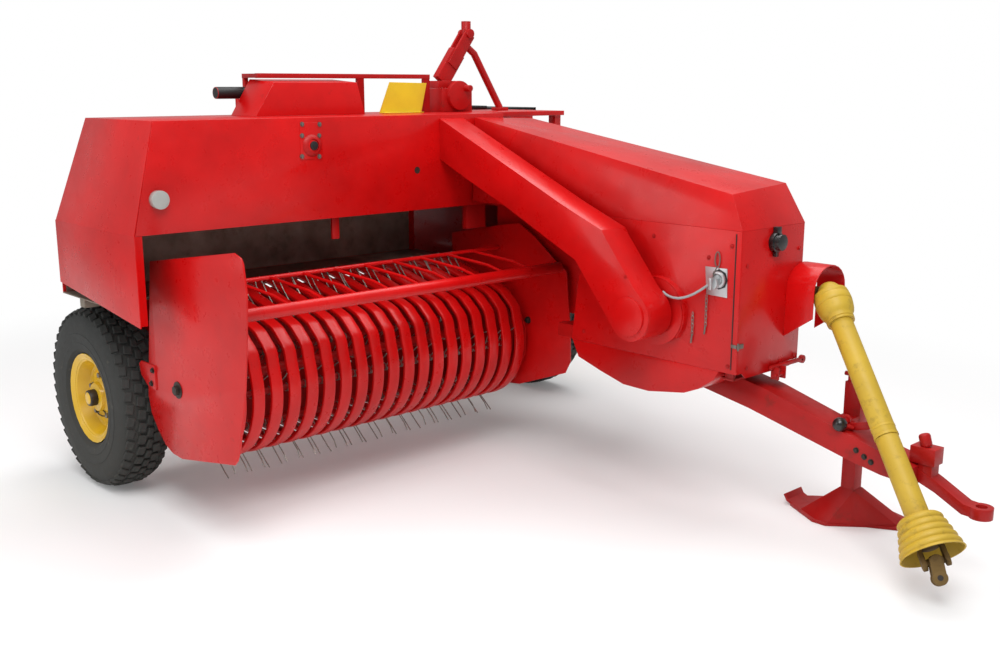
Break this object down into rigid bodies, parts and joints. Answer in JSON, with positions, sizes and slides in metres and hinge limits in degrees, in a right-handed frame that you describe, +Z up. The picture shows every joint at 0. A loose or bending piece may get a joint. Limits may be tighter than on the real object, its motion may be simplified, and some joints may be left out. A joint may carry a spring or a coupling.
{
  "type": "square baler",
  "caption": "Towed farm baler that picks up hay or straw with a side pickup, packs it in a chamber and ties rectangular bales.",
  "frame": {"origin": "middle of the machine's footprint, on the ground", "axes": "+X forward to the tractor, +Y left, +Z up"},
  "size_m": [4.9652, 2.465, 1.7885],
  "materials": {
    "red_enamel": "gloss enamel, worn at the edges",
    "yellow_enamel": "gloss enamel",
    "tyre_rubber": "moulded, dusty",
    "bare_steel": "worn bright",
    "worn_sheet": "worn down to the metal",
    "black_paint": "satin",
    "yellow_plastic": "moulded, dirty",
    "cast_iron": "as cast, rusty",
    "reflector": "clear, faceted",
    "grey_cable": "extruded"
  },
  "bodies": {
    "chassis": {"chamber_right_wall": "red_enamel", "chamber_left_wall": "red_enamel", "chamber_floor": "worn_sheet", "chamber_roof": "red_enamel", "outlet_rails_lower": "red_enamel", "outlet_rails_upper": "red_enamel", "bale_tension": "red_enamel", "axle_beam": "red_enamel", "feed_floor": "worn_sheet", "housing_back": "red_enamel", "housing_front": "red_enamel", "housing_end": "red_enamel", "housing_top": "red_enamel", "lamp": "reflector", "packer_bridge": "red_enamel", "packer_guard": "red_enamel", "packer_plate": "yellow_enamel", "packer_beam": "black_paint", "packer_crank": "red_enamel", "packer_arm": "red_enamel", "knotter_shaft": "cast_iron", "knotter_cover": "red_enamel", "needle_yoke": "red_enamel", "plunger": "cast_iron", "front_frame": "red_enamel", "box_right": "red_enamel", "box_left": "red_enamel", "box_front": "red_enamel", "belly_pan": "red_enamel", "gearbox": "cast_iron", "pto_cowl": "red_enamel", "power_socket": "black_paint", "switch_plate": "bare_steel", "cable": "grey_cable", "drive_guard": "red_enamel", "drive_stub": "cast_iron", "twine_box": "red_enamel"},
    "wheel_right": {"wheel_right_tyre": "tyre_rubber", "wheel_right_rim": "yellow_enamel"},
    "wheel_left": {"wheel_left_tyre": "tyre_rubber", "wheel_left_rim": "yellow_enamel"},
    "pickup": {"pickup_bands": "red_enamel", "pickup_shield": "red_enamel", "pickup_cheek": "red_enamel", "wind_guard": "red_enamel"},
    "reel": {"reel": "bare_steel"},
    "drawbar": {"drawbar": "red_enamel", "hitch": "red_enamel"},
    "stand": {"parking_stand": "red_enamel"},
    "shaft": {"shaft_upper": "yellow_plastic", "shaft_lower": "yellow_plastic"},
    "hood": {"hood_lid": "red_enamel"},
    "chute": {"bale_chute": "red_enamel"},
    "twine_lid": {"twine_lid": "black_paint"}
  },
  "joints": [
    {"name": "wheel_right_turn", "type": "hinge", "parent": "chassis", "child": "wheel_right", "pos_m": [-0.258, -1.0975, 0.35], "axis": [0, 1, 0], "continuous": true},
    {"name": "wheel_left_turn", "type": "hinge", "parent": "chassis", "child": "wheel_left", "pos_m": [-0.258, 1.1365, 0.35], "axis": [0, 1, 0], "continuous": true},
    {"name": "pickup_lower", "type": "hinge", "parent": "chassis", "child": "pickup", "pos_m": [-0.138, -0.2735, 0.5], "axis": [0, 1, 0], "range_deg": [0, 9]},
    {"name": "reel_turn", "type": "hinge", "parent": "pickup", "child": "reel", "pos_m": [0.262, -0.2735, 0.48], "axis": [0, 1, 0], "continuous": true},
    {"name": "drawbar_swing", "type": "hinge", "parent": "chassis", "child": "drawbar", "pos_m": [1.242, 0.4745, 0.48], "axis": [0, 0, 1], "range_deg": [0, 20]},
    {"name": "stand_slide", "type": "slide", "parent": "drawbar", "child": "stand", "axis": [0, 0, 1], "range_m": [0, 0.18]},
    {"name": "shaft_raise", "type": "hinge", "parent": "chassis", "child": "shaft", "pos_m": [1.812, 0.5815, 0.815], "axis": [-0.4883, -0.8727, 0], "range_deg": [0, 50]},
    {"name": "hood_open", "type": "hinge", "parent": "chassis", "child": "hood", "pos_m": [0.742, 0.6215, 1.05], "axis": [-1, 0, 0], "range_deg": [0, 70]},
    {"name": "chute_fold", "type": "hinge", "parent": "chassis", "child": "chute", "pos_m": [-2.052, 0.6565, 0.64], "axis": [0, 1, 0], "range_deg": [0, 90]},
    {"name": "twine_lid_open", "type": "hinge", "parent": "chassis", "child": "twine_lid", "pos_m": [-0.633, 0.9365, 1.408], "axis": [1, 0, 0], "range_deg": [0, 80]}
  ]
}
